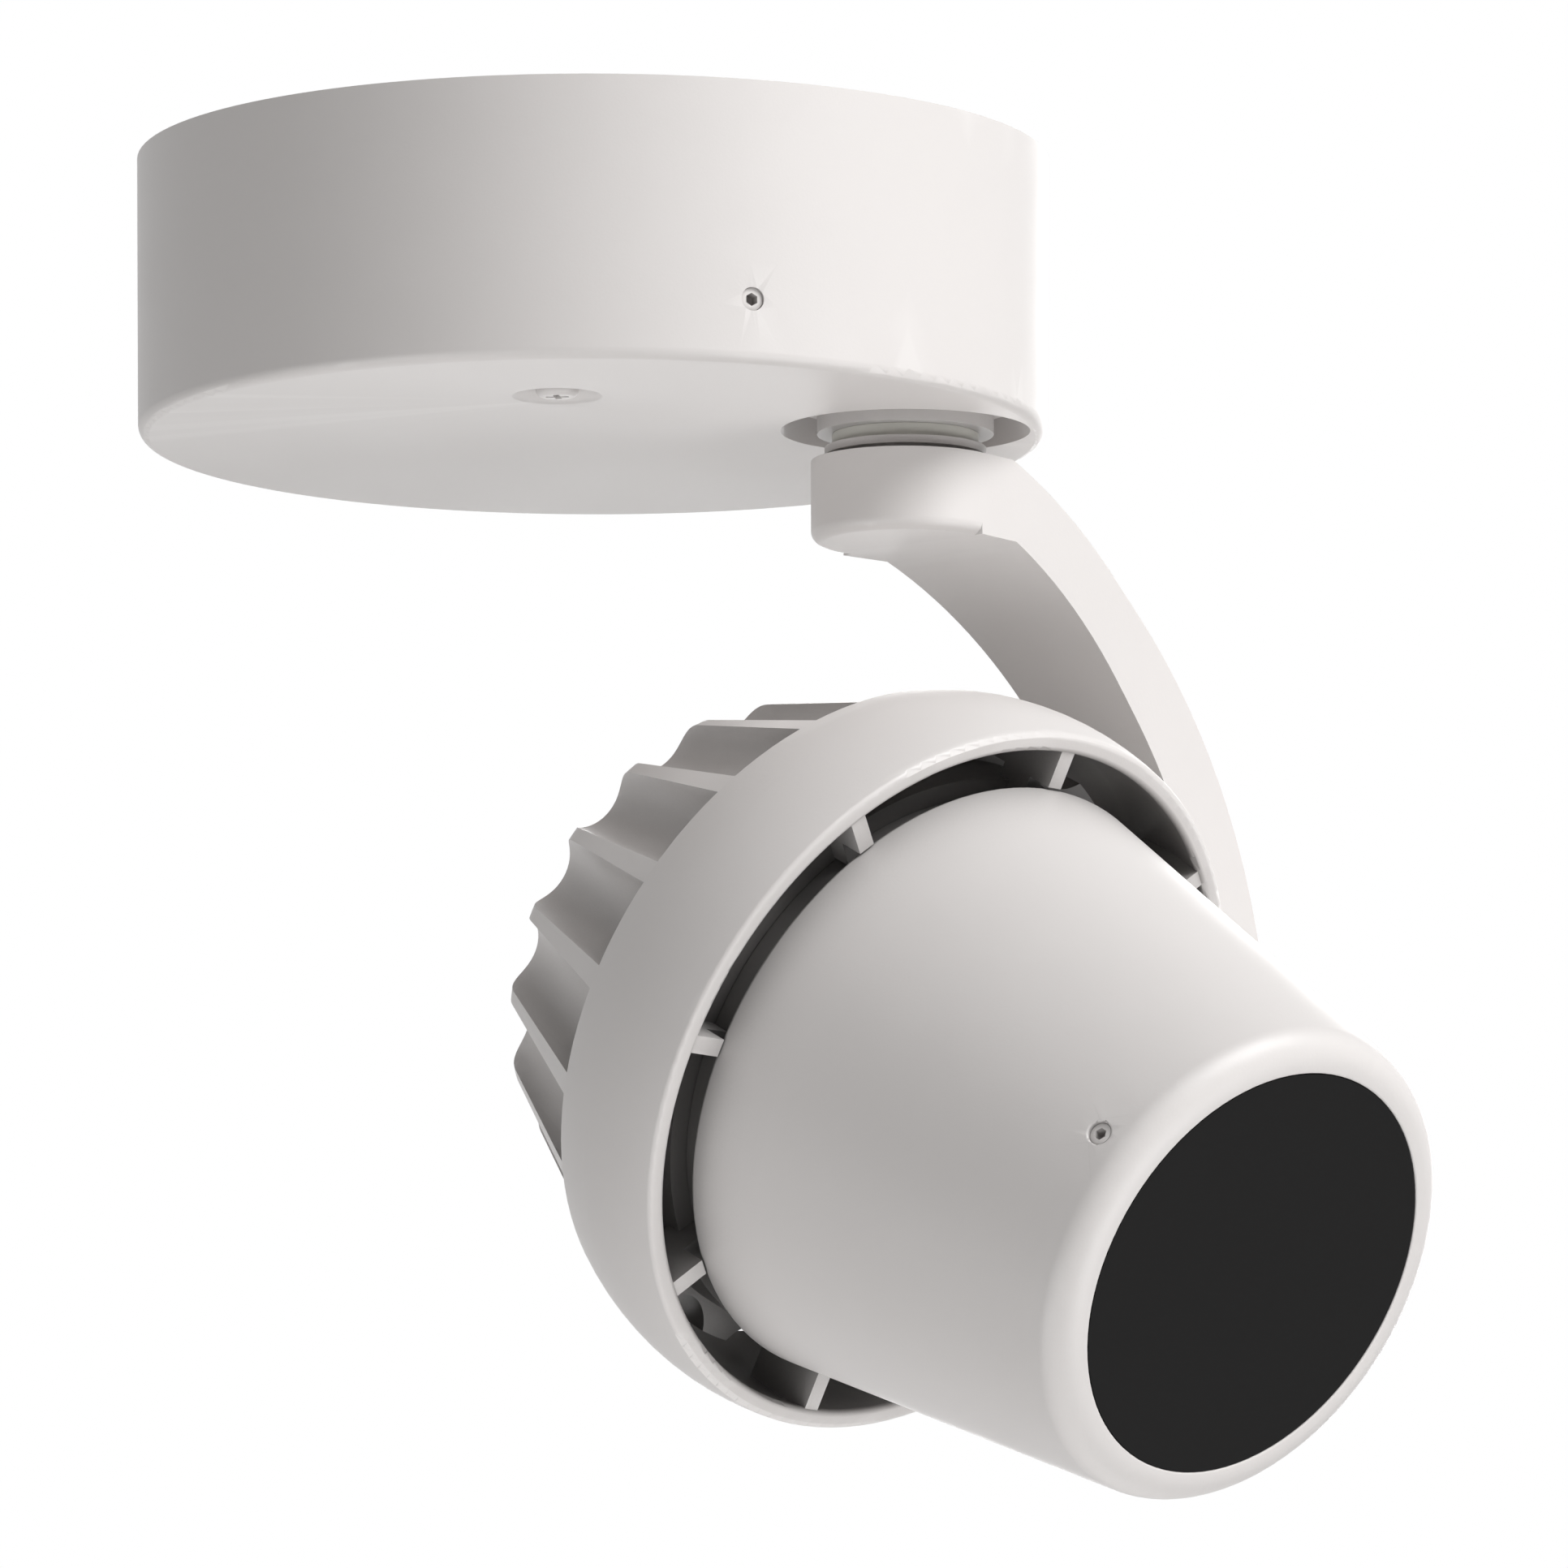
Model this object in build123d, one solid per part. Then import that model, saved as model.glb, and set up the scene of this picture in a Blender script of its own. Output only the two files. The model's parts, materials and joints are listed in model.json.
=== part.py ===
from build123d import *
import math
import os

# Surface mounted ceiling spotlight: a round canopy that holds the driver, a curved
# swivelling arm, and a tapered lamp head with a finned heat sink.
# Millimetres.  The ceiling is the plane Z = 0 and the light hangs below it, with the
# canopy's axis on Z and the swivel on +X.

# ---------------------------------------------------------------- pose in which it is drawn
pan_at_rest = 55.0            # arm's turn about the swivel, degrees from +X
tilt_at_rest = 29.0           # head's dip below level, degrees

# ---------------------------------------------------------------- clearances
fit_gap = 0.05                # screw shanks, pressed pins and turned fits, on the radius
slide_gap = 0.1               # faces that turn on each other
shell_gap = 0.5               # sheet metal inside the canopy wall
casting_gap = 0.3             # as-cast faces beside each other

# ---------------------------------------------------------------- canopy
canopy_radius = 60.0
canopy_height = 37.3
canopy_draft = 0.5            # degrees
canopy_wall = 2.2
canopy_floor = 3.0
canopy_edge_radius = 1.5
ceiling_gap = 0.3             # canopy rim to ceiling

dish_radius = 16.4            # recess round the swivel
dish_depth = 3.0
dish_slope = 2.2              # how much narrower the recess is at its floor
dish_floor = 3.5
dish_rim = 1.5                # metal round the recess, inside the canopy
boss_radius = 11.6            # ring that carries the swivel bush
boss_stand = 0.5              # how far the boss stands below the canopy face
swivel_offset = 41.5

dimple_radius = 6.0           # shallow bowl round the driver screw
dimple_depth = 1.8
dimple_offset = 31.5

# ---------------------------------------------------------------- ceiling plate
plate_thickness = 1.6
plate_radius = 46.0
leg_width = 14.0
leg_length = 33.0
leg_count = 3
leg_first_angle = -61.5       # degrees
leg_screw_depth = 29.0        # below the ceiling
leg_bend_radius = 2.0
plate_hole_radius = 2.4       # screws into the ceiling
plate_hole_offset = 32.5
cable_hole_radius = 7.5
cable_hole_x = -19.0
grommet_bore_radius = 5.0
grommet_flange = 2.0
grommet_lip = 1.4

# ---------------------------------------------------------------- driver and terminals
driver_length = 58.0
driver_width = 27.0
driver_height = 21.0
driver_wall = 1.6
driver_corner_radius = 4.0
driver_x = -4.0
driver_y = -27.5
driver_lid_thickness = 1.8
driver_lid_plug = 2.0         # rim of the lid inside the case
driver_boss_radius = 3.6
driver_boss_height = 10.0
board_thickness = 1.6
board_stand = 6.0
board_post_radius = 1.6
board_post_x = -0.5           # middle of the four posts, from the driver's middle
board_post_reach = 24.5       # half the posts' spacing along the driver
board_post_side = 9.0
transformer_length = 16.0
transformer_width = 15.0
transformer_x = -16.0         # places on the board, from the driver's middle
transformer_y = 0.5
capacitor_radius = 3.0
capacitor_x = 14.0
capacitor_y = 5.0
capacitor_pitch = 7.0
component_height = 8.0
terminal_length = 30.0
terminal_width = 16.0
terminal_height = 13.0
terminal_x = -14.0
terminal_y = 30.0
terminal_count = 3
terminal_pitch = 9.0
terminal_screw_radius = 2.19
terminal_screw_height = 3.5
terminal_slot_depth = 0.9
terminal_screw_side = 4.16    # screws from the block's middle
wire_radius = 1.6
earth_x = 14.0
earth_y = 33.0
earth_boss_radius = 4.0
earth_boss_height = 6.0

# ---------------------------------------------------------------- screws
m3_radius = 1.5
m3_head_radius = 2.8
m3_head_height = 1.9
grub_length = 5.0
slot_width = 0.8
driver_screw_length = 10.0

# ---------------------------------------------------------------- swivel
bush_radius = 7.0
bush_flange_radius = 9.6
bush_flange = 1.7
spindle_radius = 5.0
spindle_bore_radius = 3.2
spindle_seat = 8.0            # length of spindle inside the knuckle
spindle_thread = 7.0          # length of spindle above the stop washer
stop_washer_radius = 9.5
stop_washer_thickness = 1.0
stop_tab_reach = 13.2
stop_tab_width = 1.9
stop_pin_radius = 1.0
stop_pin_offset = 11.8
stop_pin_depth = 2.0
spring_washer_radius = 8.5
spring_washer_thickness = 0.7
spring_washer_cone = 0.5
pan_nut_flat = 15.0           # across flats
pan_nut_height = 4.5

# ---------------------------------------------------------------- arm
neck_disc_radius = 10.6
neck_disc = 1.05
neck_groove_radius = 9.4
neck_groove = 0.8
knuckle_radius = 12.4
knuckle_height = 10.8
knuckle_fillet = 1.6          # round its lower edge
arm_half_width = 8.6
arm_taper_end = 34.0          # distance from the swivel at which the arm reaches its width
arm_taper_blend = 40.0
arm_outer_radius = 80.7
arm_inner_radius = 68.8
arm_head_gap = 1.4            # arm's inner face to the head's belly
arm_outer_rise = 3.4          # centre of the outer curve above the tilt axis
arm_inner_rise = 5.2
tilt_drop = 120.9             # ceiling to tilt axis

# ---------------------------------------------------------------- tilt pivot
tilt_pad_radius = 6.5
tilt_pad_depth = 2.9          # pad inside the ring's wall
tilt_washer_radius = 6.5
tilt_seat_radius = 7.2
tilt_seat_sink = 0.5          # flat seat sunk into the arm for the washer
tilt_bolt_radius = 4.0
tilt_thread_radius = 3.0
tilt_bolt_bore = 1.7
tilt_bolt_head_radius = 6.2
tilt_bolt_head = 2.4
tilt_socket_flat = 5.0
tilt_cup_radius = 6.9
tilt_cup_floor = 5.0          # arm metal between the washer and the cup
tilt_spring_thickness = 0.5
tilt_spring_cone = 0.4
tilt_cap_gap = 0.6            # bolt head to cap
tilt_cap_thickness = 1.4
tilt_cap_stand = 0.3          # cap's face outside the arm's

# ---------------------------------------------------------------- lamp head
# Distances along the head are measured forward from the tilt axis.
ring_front = 7.1
ring_length = 20.8
ring_front_radius = 49.2
ring_belly_radius = 49.8
ring_rear_radius = 47.0
ring_belly = 0.45             # place of the belly along the ring, from its front
ring_wall = 2.6
ring_lip_fillet = 0.8
tab_count = 8
tab_width = 2.4
tab_sink = 0.4                # tab face behind the ring's front
tab_depth = 11.0
band_thickness = 2.0          # inner band of the ring, between cone and heat sink

sink_front = -2.0             # front face of the heat sink's base plate
sink_rear = -42.5
sink_plate = 5.0
sink_plate_radius = 40.0
fin_inner_radius = 43.9       # fins inside the ring
fin_shoulder_radius = 45.4    # fins where they come out behind the ring
fin_rear_radius = 32.9        # where the fins' taper would meet the rear face
fin_corner = 5.0
fin_count = 18
flute_depth = 6.9             # at the fins' shoulder
flute_radius = 6.1            # round floor between two fins
flute_opening = 11.0          # degrees that each side leans out
flute_slope = 18.8            # degrees, the floor's fall towards the axis
flute_draft = 1.9             # degrees, narrower towards the rear
sink_dish_radius = 17.0
sink_dish_depth = 3.0
lead_hole_offset = 26.0
lead_hole_radius = 2.6        # for the lamp leads, through the base plate

cone_front = 68.75
cone_front_radius = 32.6      # where the cone's side would meet the nose face
cone_skirt_radius = 41.5
cone_skirt_sink = 0.9         # edge of the skirt behind the ring's front
cone_nose_radius = 4.3
cone_wall = 2.4
cone_neck_radius = 37.4
cone_neck_wall = 2.2
cone_neck_length = 3.4
cone_flange = 2.5
cone_flange_inner_radius = 28.5
cone_screw_offset = 32.0
cone_screw_count = 4
cone_screw_first_angle = 22.5
cone_screw_length = 8.0

glass_radius = 27.8
glass_flange_radius = 29.6
glass_flange = 1.6
glass_sink = 0.1              # how far the glass lies behind the nose
nose_lip = 2.0
gasket_thickness = 0.5
clamp_length = 5.6
clamp_inner_radius = 26.4
clamp_screw_count = 3
clamp_screw_angle = 156.0     # degrees about the head axis, from the arm side
clamp_screw_back = 6.5        # behind the nose
clamp_screw_length = 4.0
clamp_screw_sink = 0.4        # head below the cone's surface

reflector_wall = 0.8
reflector_flange = 1.0
reflector_throat_radius = 11.0
reflector_mouth_radius = 25.6
holder_radius = 21.0
holder_height = 5.0
holder_window_radius = 9.0
holder_screw_offset = 16.8
led_side = 19.0
led_thickness = 1.2
led_emitter_radius = 7.0
led_emitter = 0.5
pad_thickness = 0.4

# ---------------------------------------------------------------- what follows from the sizes
canopy_floor_radius = canopy_radius - (canopy_height - ceiling_gap) * math.tan(math.radians(canopy_draft))
canopy_face = -canopy_height
floor_top = canopy_face + canopy_floor
dish_top = canopy_face + dish_depth
pad_top = dish_top + dish_floor
boss_face = canopy_face - boss_stand
neck_top = boss_face - bush_flange - slide_gap
knuckle_top = neck_top - neck_disc - neck_groove
knuckle_bottom = knuckle_top - knuckle_height
stop_washer_low = pad_top + slide_gap
spring_low = stop_washer_low + stop_washer_thickness
nut_low = spring_low + spring_washer_thickness + spring_washer_cone
arm_inner_reach = ring_belly_radius + arm_head_gap
tilt_pad_reach = arm_inner_reach - casting_gap
tilt_pad_root = ring_belly_radius - ring_wall - tilt_pad_depth
tilt_seat_reach = arm_inner_reach + tilt_seat_sink
cup_floor = tilt_seat_reach + tilt_cup_floor
bolt_head_low = cup_floor + tilt_spring_thickness + tilt_spring_cone
bolt_head_top = bolt_head_low + tilt_bolt_head
arm_outer_reach = bolt_head_top + tilt_cap_gap + tilt_cap_thickness
ring_rear = ring_front - ring_length
band_back = sink_front
back_of_plate = sink_front - sink_plate
band_front = sink_front + band_thickness
cone_neck_top = band_front + cone_neck_length
cone_skirt = ring_front - cone_skirt_sink
clamp_screw_z = cone_front - clamp_screw_back
glass_front = cone_front - glass_sink
lip_back = cone_front - nose_lip
glass_flange_front = lip_back - gasket_thickness
glass_flange_back = glass_flange_front - glass_flange
clamp_back = glass_flange_back - clamp_length
holder_front = sink_front + holder_height

# Swivel frame: origin where the swivel axis meets the ceiling, +X along the arm.
# Head frame: origin on the tilt axis, +Z out of the lamp, +X towards the arm, +Y up.
swivel_frame = Pos(swivel_offset, 0, 0) * Rot(0, 0, pan_at_rest)
head_frame = swivel_frame * Pos(0, 0, -tilt_drop) * Rot(90 + tilt_at_rest, 0, 0)
along_x = Rot(0, 90, 0)
arm_tilt_axis = Pos(0, 0, -tilt_drop) * along_x


# ---------------------------------------------------------------- small helpers
def rod(radius, low, high):
    return Pos(0, 0, low) * extrude(Circle(radius), high - low)


def tube(outer, inner, low, high):
    return Pos(0, 0, low) * extrude(Circle(outer) - Circle(inner), high - low)


def turned(*points):
    """Solid of revolution about Z from an outline of (radius, height) points."""
    return revolve(Plane.XZ * make_face(Polyline(*points, close=True)), Axis.Z)


def box_between(x0, x1, y0, y1, z0, z1):
    middle = Pos((x0 + x1) / 2, (y0 + y1) / 2, (z0 + z1) / 2)
    return middle * Box(x1 - x0, y1 - y0, z1 - z0)


def spin(shape, count, first_angle=0.0):
    """Copies of a shape, evenly spaced about Z."""
    return [Rot(0, 0, first_angle + 360.0 * k / count) * shape for k in range(count)]


def hexagon_rod(across_flats, low, high):
    return Pos(0, 0, low) * extrude(RegularPolygon(across_flats / 2, 6, major_radius=False), high - low)


def pan_screw(length):
    """M3 pan head screw with a cross slot, head up from Z = 0 and shank down."""
    head = rod(m3_head_radius, 0, m3_head_height)
    head = fillet(head.edges().group_by(Axis.Z)[-1], m3_head_height * 0.45)
    slot = box_between(-m3_radius, m3_radius, -slot_width / 2, slot_width / 2,
                       m3_head_height * 0.45, m3_head_height + 1)
    return head - slot - Rot(0, 0, 90) * slot + rod(m3_radius, -length, 0)


def grub_screw(length):
    """M3 socket set screw, its open end at Z = 0 and its point down."""
    body = turned((0, 0), (m3_radius, 0), (m3_radius, -length + 0.6),
                  (m3_radius - 0.6, -length), (0, -length))
    return body - hexagon_rod(m3_radius, -length * 0.4, 1)


def cone_washer(outer, inner, thickness, rise):
    """Belleville washer that stands on Z = 0 at its outer edge."""
    return turned((inner, rise), (outer, 0), (outer, thickness), (inner, thickness + rise))


def tangent_angle(x, y, radius):
    """Angle at which a line from (x, y) touches the upper side of a circle at the origin."""
    return math.atan2(y, x) + math.acos(radius / math.hypot(x, y))


# ---------------------------------------------------------------- canopy
def canopy_radius_at(z):
    return canopy_radius + (z + ceiling_gap) * math.tan(math.radians(canopy_draft))


def leg_angles():
    return [leg_first_angle + 360.0 * k / leg_count for k in range(leg_count)]


def make_canopy_housing():
    outline = make_face(Polyline(
        (0, canopy_face),
        (canopy_floor_radius, canopy_face),
        (canopy_radius, -ceiling_gap),
        (canopy_radius - canopy_wall, -ceiling_gap),
        (canopy_floor_radius - canopy_wall, floor_top),
        (0, floor_top),
        close=True,
    ))
    corners = outline.vertices().filter_by(lambda v: v.X > canopy_radius / 2 and v.Y < -canopy_height / 2)
    shell = revolve(Plane.XZ * fillet(corners, canopy_edge_radius), Axis.Z)
    swivel_seat = Pos(swivel_offset, 0, 0) * rod(dish_radius + dish_rim, canopy_face + 1, pad_top)
    envelope = rod(canopy_floor_radius - canopy_wall / 2, canopy_face, pad_top)
    shell = shell + (swivel_seat & envelope)
    dish = turned((0, canopy_face - 1), (dish_radius, canopy_face - 1), (dish_radius, canopy_face),
                  (dish_radius - dish_slope, dish_top), (0, dish_top))
    shell = shell - Pos(swivel_offset, 0, 0) * dish
    shell = shell + Pos(swivel_offset, 0, 0) * rod(boss_radius, boss_face, dish_top)
    shell = shell - Pos(swivel_offset, 0, 0) * rod(bush_radius + fit_gap, boss_face - 1, pad_top + 1)
    pin_hole = rod(stop_pin_radius + fit_gap, pad_top - stop_pin_depth, pad_top + 1)
    shell = shell - Pos(swivel_offset - stop_pin_offset, 0, 0) * pin_hole
    bowl_radius = (dimple_radius ** 2 + dimple_depth ** 2) / (2 * dimple_depth)
    bowl = Pos(0, -dimple_offset, canopy_face + dimple_depth - bowl_radius) * Sphere(bowl_radius)
    head_seat = rod(m3_head_radius + casting_gap, canopy_face - 1, canopy_face + dimple_depth)
    shell = shell - bowl - Pos(0, -dimple_offset, 0) * head_seat
    shell = shell - Pos(0, -dimple_offset, 0) * rod(m3_radius + fit_gap, canopy_face - 1, floor_top + 1)
    wall_hole = Pos(0, 0, -leg_screw_depth) * along_x * rod(m3_radius + fit_gap, canopy_radius / 2, canopy_radius + 1)
    for angle in leg_angles():
        shell = shell - Rot(0, 0, angle) * wall_hole
    earth_boss = tube(earth_boss_radius, m3_radius + fit_gap, floor_top, floor_top + earth_boss_height)
    return shell + Pos(earth_x, earth_y, 0) * earth_boss


def make_ceiling_plate():
    leg_face = canopy_radius_at(-leg_length) - canopy_wall - shell_gap
    plate = rod(plate_radius, -plate_thickness, 0)
    leg_inside = leg_face - plate_thickness
    arm_strip = box_between(0, leg_face, -leg_width / 2, leg_width / 2, -plate_thickness, 0)
    leg_strip = box_between(leg_inside, leg_face, -leg_width / 2, leg_width / 2, -leg_length, 0)
    leg = fillet((arm_strip + leg_strip).edges().filter_by(Axis.Y).sort_by(
        lambda e: -e.center().X - e.center().Z)[0], leg_bend_radius)
    leg = leg - Pos(0, 0, -leg_screw_depth) * along_x * rod(m3_radius + fit_gap, leg_inside - 1, leg_face + 1)
    for angle in leg_angles():
        plate = plate + Rot(0, 0, angle) * leg
    for side in (-1, 1):
        plate = plate - Pos(0, side * plate_hole_offset, 0) * rod(plate_hole_radius, -plate_thickness - 1, 1)
    return plate - Pos(cable_hole_x, 0, 0) * rod(cable_hole_radius, -plate_thickness - 1, 1)


def make_cable_grommet():
    groove = cable_hole_radius - fit_gap
    flange = cable_hole_radius + grommet_flange
    low = -plate_thickness
    body = turned(
        (grommet_bore_radius, 0), (groove, 0), (groove, low), (flange, low),
        (flange - grommet_lip / 2, low - grommet_lip), (grommet_bore_radius, low - grommet_lip),
    )
    return Pos(cable_hole_x, 0, 0) * body


def make_canopy_grub_screws():
    placed = Pos(0, 0, -leg_screw_depth) * along_x * Pos(0, 0, canopy_radius_at(-leg_screw_depth) - 0.4)
    return Compound([Rot(0, 0, angle) * placed * grub_screw(grub_length) for angle in leg_angles()])


def driver_block(inset, low, high):
    """Block on the driver's footprint, drawn in by an inset."""
    block = box_between(
        driver_x - driver_length / 2 + inset, driver_x + driver_length / 2 - inset,
        driver_y - driver_width / 2 + inset, driver_y + driver_width / 2 - inset, low, high)
    return fillet(block.edges().filter_by(Axis.Z), driver_corner_radius - inset)


def make_driver_case():
    top = floor_top + driver_height
    case = driver_block(0, floor_top, top) - driver_block(driver_wall, floor_top + driver_wall, top + 1)
    boss = rod(driver_boss_radius, floor_top, floor_top + driver_boss_height)
    case = case + Pos(0, -dimple_offset, 0) * boss
    hole = rod(m3_radius + fit_gap, floor_top - 1, floor_top + driver_boss_height - 1)
    return case - Pos(0, -dimple_offset, 0) * hole


def make_driver_lid():
    low = floor_top + driver_height
    lid = driver_block(0, low, low + driver_lid_thickness)
    plug = driver_block(driver_wall + fit_gap, low - driver_lid_plug, low)
    return lid + (plug - driver_block(driver_wall * 2, low - driver_lid_plug - 1, low))


def make_driver_board():
    """Circuit board on the case floor's stand-offs, with its transformer and capacitors."""
    low = floor_top + driver_wall + board_stand
    board = driver_block(driver_wall + casting_gap, low, low + board_thickness)
    top = low + board_thickness
    board = board - Pos(0, -dimple_offset, 0) * rod(driver_boss_radius + casting_gap, low - 1, top + 1)
    middle = Pos(driver_x, driver_y, 0)
    transformer = Pos(transformer_x, transformer_y, top) * extrude(
        Rectangle(transformer_length, transformer_width), component_height)
    board = board + middle * transformer
    for x in (capacitor_x, capacitor_x + capacitor_pitch):
        board = board + middle * Pos(x, capacitor_y, 0) * rod(capacitor_radius, top, top + component_height)
    post = rod(board_post_radius, floor_top + driver_wall, low)
    for x in (board_post_x - board_post_reach, board_post_x + board_post_reach):
        for y in (-board_post_side, board_post_side):
            board = board + middle * Pos(x, y, 0) * post
    return board


def make_driver_fixing_screw():
    """Screw in the canopy's dimple, its head below the floor."""
    seat = canopy_face + dimple_depth
    return Pos(0, -dimple_offset, seat) * Rot(180, 0, 0) * pan_screw(driver_screw_length)


def terminal_x_at(k):
    return terminal_x + (k - (terminal_count - 1) / 2) * terminal_pitch


def make_terminal_block():
    block = box_between(terminal_x - terminal_length / 2, terminal_x + terminal_length / 2,
                        terminal_y - terminal_width / 2, terminal_y + terminal_width / 2,
                        floor_top, floor_top + terminal_height)
    block = chamfer(block.edges().group_by(Axis.Z)[-1].filter_by(Axis.X), 1.5)
    wire_z = floor_top + terminal_height * 0.4
    bore = Pos(0, terminal_y, wire_z) * Rot(90, 0, 0) * rod(wire_radius, -terminal_width, terminal_width)
    well = rod(terminal_screw_radius + fit_gap, wire_z, floor_top + terminal_height + 1)
    for k in range(terminal_count):
        block = block - Pos(terminal_x_at(k), 0, 0) * bore
        for side in (-1, 1):
            block = block - Pos(terminal_x_at(k), terminal_y + side * terminal_screw_side, 0) * well
    return block


def make_terminal_screws():
    screws = []
    bottom = floor_top + terminal_height * 0.4 + wire_radius
    for k in range(terminal_count):
        for side in (-1, 1):
            top = bottom + terminal_screw_height
            screw = rod(terminal_screw_radius, bottom, top)
            slot = box_between(-m3_head_radius, m3_head_radius, -slot_width / 2, slot_width / 2,
                               top - terminal_slot_depth, top + 1)
            place = Pos(terminal_x_at(k), terminal_y + side * terminal_screw_side, 0)
            screws.append(place * (screw - slot))
    return Compound(screws)


def make_earth_screw():
    return Pos(earth_x, earth_y, floor_top + earth_boss_height) * pan_screw(earth_boss_height - 0.5)


# ---------------------------------------------------------------- swivel
def make_pan_bush():
    inner = spindle_radius + fit_gap
    body = turned((inner, pad_top), (bush_radius, pad_top), (bush_radius, boss_face),
                  (bush_flange_radius, boss_face), (bush_flange_radius, boss_face - bush_flange),
                  (inner, boss_face - bush_flange))
    return Pos(swivel_offset, 0, 0) * body


def make_pan_stop_pin():
    pin = rod(stop_pin_radius, pad_top - stop_pin_depth, spring_low + 0.6)
    pin = chamfer(pin.edges().group_by(Axis.Z)[-1], 0.3)
    return Pos(swivel_offset - stop_pin_offset, 0, 0) * pin


def make_pan_spindle():
    high = nut_low + spindle_thread
    return chamfer(tube(spindle_radius, spindle_bore_radius, neck_top - spindle_seat, high)
                   .edges().group_by(Axis.Z)[-1], 0.4)


def make_pan_stop_washer():
    """Washer keyed to the spindle, whose tab meets the stop pin at both ends of the turn."""
    high = stop_washer_low + stop_washer_thickness
    washer = tube(stop_washer_radius, spindle_radius + fit_gap, stop_washer_low, high)
    tab = box_between(stop_washer_radius - 1, stop_tab_reach, -stop_tab_width / 2, stop_tab_width / 2,
                      stop_washer_low, high)
    return washer + tab


def make_pan_spring_washer():
    return Pos(0, 0, spring_low) * cone_washer(
        spring_washer_radius, spindle_radius + fit_gap, spring_washer_thickness, spring_washer_cone)


def make_pan_nut():
    nut = hexagon_rod(pan_nut_flat, nut_low, nut_low + pan_nut_height)
    round_blank = rod(pan_nut_flat * 0.56, nut_low, nut_low + pan_nut_height)
    round_blank = chamfer(round_blank.edges(), 0.6)
    return (nut & round_blank) - rod(spindle_radius + fit_gap, nut_low - 1, nut_low + pan_nut_height + 1)


# ---------------------------------------------------------------- arm
def curve_point(reach, radius, centre_z, degrees):
    """Point on an arm curve, whose furthest reach is at 0 degrees."""
    angle = math.radians(degrees)
    return (reach - radius + radius * math.cos(angle), centre_z + radius * math.sin(angle))


def make_swing_arm():
    outer_z = -tilt_drop + arm_outer_rise
    inner_z = -tilt_drop + arm_inner_rise
    outer_start = math.degrees(math.asin((knuckle_top - outer_z) / arm_outer_radius))
    inner_start = math.degrees(math.asin((knuckle_bottom - inner_z) / arm_inner_radius))
    outer = [curve_point(arm_outer_reach, arm_outer_radius, outer_z, f * outer_start) for f in (1, 0.5, 0)]
    inner = [curve_point(arm_inner_reach, arm_inner_radius, inner_z, f * inner_start) for f in (0, 0.5, 1)]
    side = make_face([
        Line((0, knuckle_top), outer[0]),
        ThreePointArc(*outer),
        Line(outer[2], (arm_outer_reach, -tilt_drop)),
        Line((arm_outer_reach, -tilt_drop), (arm_inner_reach, -tilt_drop)),
        Line((arm_inner_reach, -tilt_drop), inner[0]),
        ThreePointArc(*inner),
        Line(inner[2], (0, knuckle_bottom)),
        Line((0, knuckle_bottom), (0, knuckle_top)),
    ])
    side_slab = extrude(Plane.XZ * side, knuckle_radius, both=True)
    touch = tangent_angle(arm_taper_end, arm_half_width, knuckle_radius)
    tx = knuckle_radius * math.cos(touch)
    ty = knuckle_radius * math.sin(touch)
    far = arm_outer_reach + 1
    plan = make_face(Polyline((tx, ty), (arm_taper_end, arm_half_width), (far, arm_half_width),
                              (far, -arm_half_width), (arm_taper_end, -arm_half_width), (tx, -ty), close=True))
    waist = plan.vertices().filter_by(lambda v: abs(v.X - arm_taper_end) < 0.01)
    plan = fillet(waist, arm_taper_blend)
    plan_slab = Pos(0, 0, -tilt_drop - 1) * extrude(plan, tilt_drop)
    blade = side_slab & plan_slab
    foot = arm_tilt_axis * rod(arm_half_width, arm_inner_reach, arm_outer_reach)
    blade = blade + foot
    knuckle = rod(knuckle_radius, knuckle_bottom, knuckle_top)
    knuckle = fillet(knuckle.edges().group_by(Axis.Z)[0], knuckle_fillet)
    arm = blade + knuckle
    neck = turned((0, neck_top), (neck_disc_radius, neck_top), (neck_disc_radius, neck_top - neck_disc),
                  (neck_groove_radius, neck_top - neck_disc), (neck_groove_radius, knuckle_top - 1),
                  (0, knuckle_top - 1))
    arm = arm + neck
    arm = arm - rod(spindle_radius + fit_gap, neck_top - spindle_seat, neck_top + 1)
    cup = rod(tilt_cup_radius, cup_floor, arm_outer_reach + 1)
    bore = rod(tilt_bolt_radius + fit_gap, arm_inner_reach - 1, cup_floor + 1)
    seat = rod(tilt_seat_radius, arm_inner_reach - 2, tilt_seat_reach)
    return arm - arm_tilt_axis * cup - arm_tilt_axis * bore - arm_tilt_axis * seat


def make_tilt_cap():
    face = arm_outer_reach + tilt_cap_stand
    cap = rod(tilt_cup_radius - fit_gap, arm_outer_reach - tilt_cap_thickness, face)
    return arm_tilt_axis * fillet(cap.edges().group_by(Axis.Z)[-1], 0.25)


def make_tilt_friction_washer():
    return arm_tilt_axis * tube(tilt_washer_radius, tilt_bolt_radius + fit_gap,
                                tilt_pad_reach + slide_gap, tilt_seat_reach)


# ---------------------------------------------------------------- lamp head
def cone_radius_at(z):
    share = (z - cone_skirt) / (cone_front - cone_skirt)
    return cone_skirt_radius + (cone_front_radius - cone_skirt_radius) * share


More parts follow.
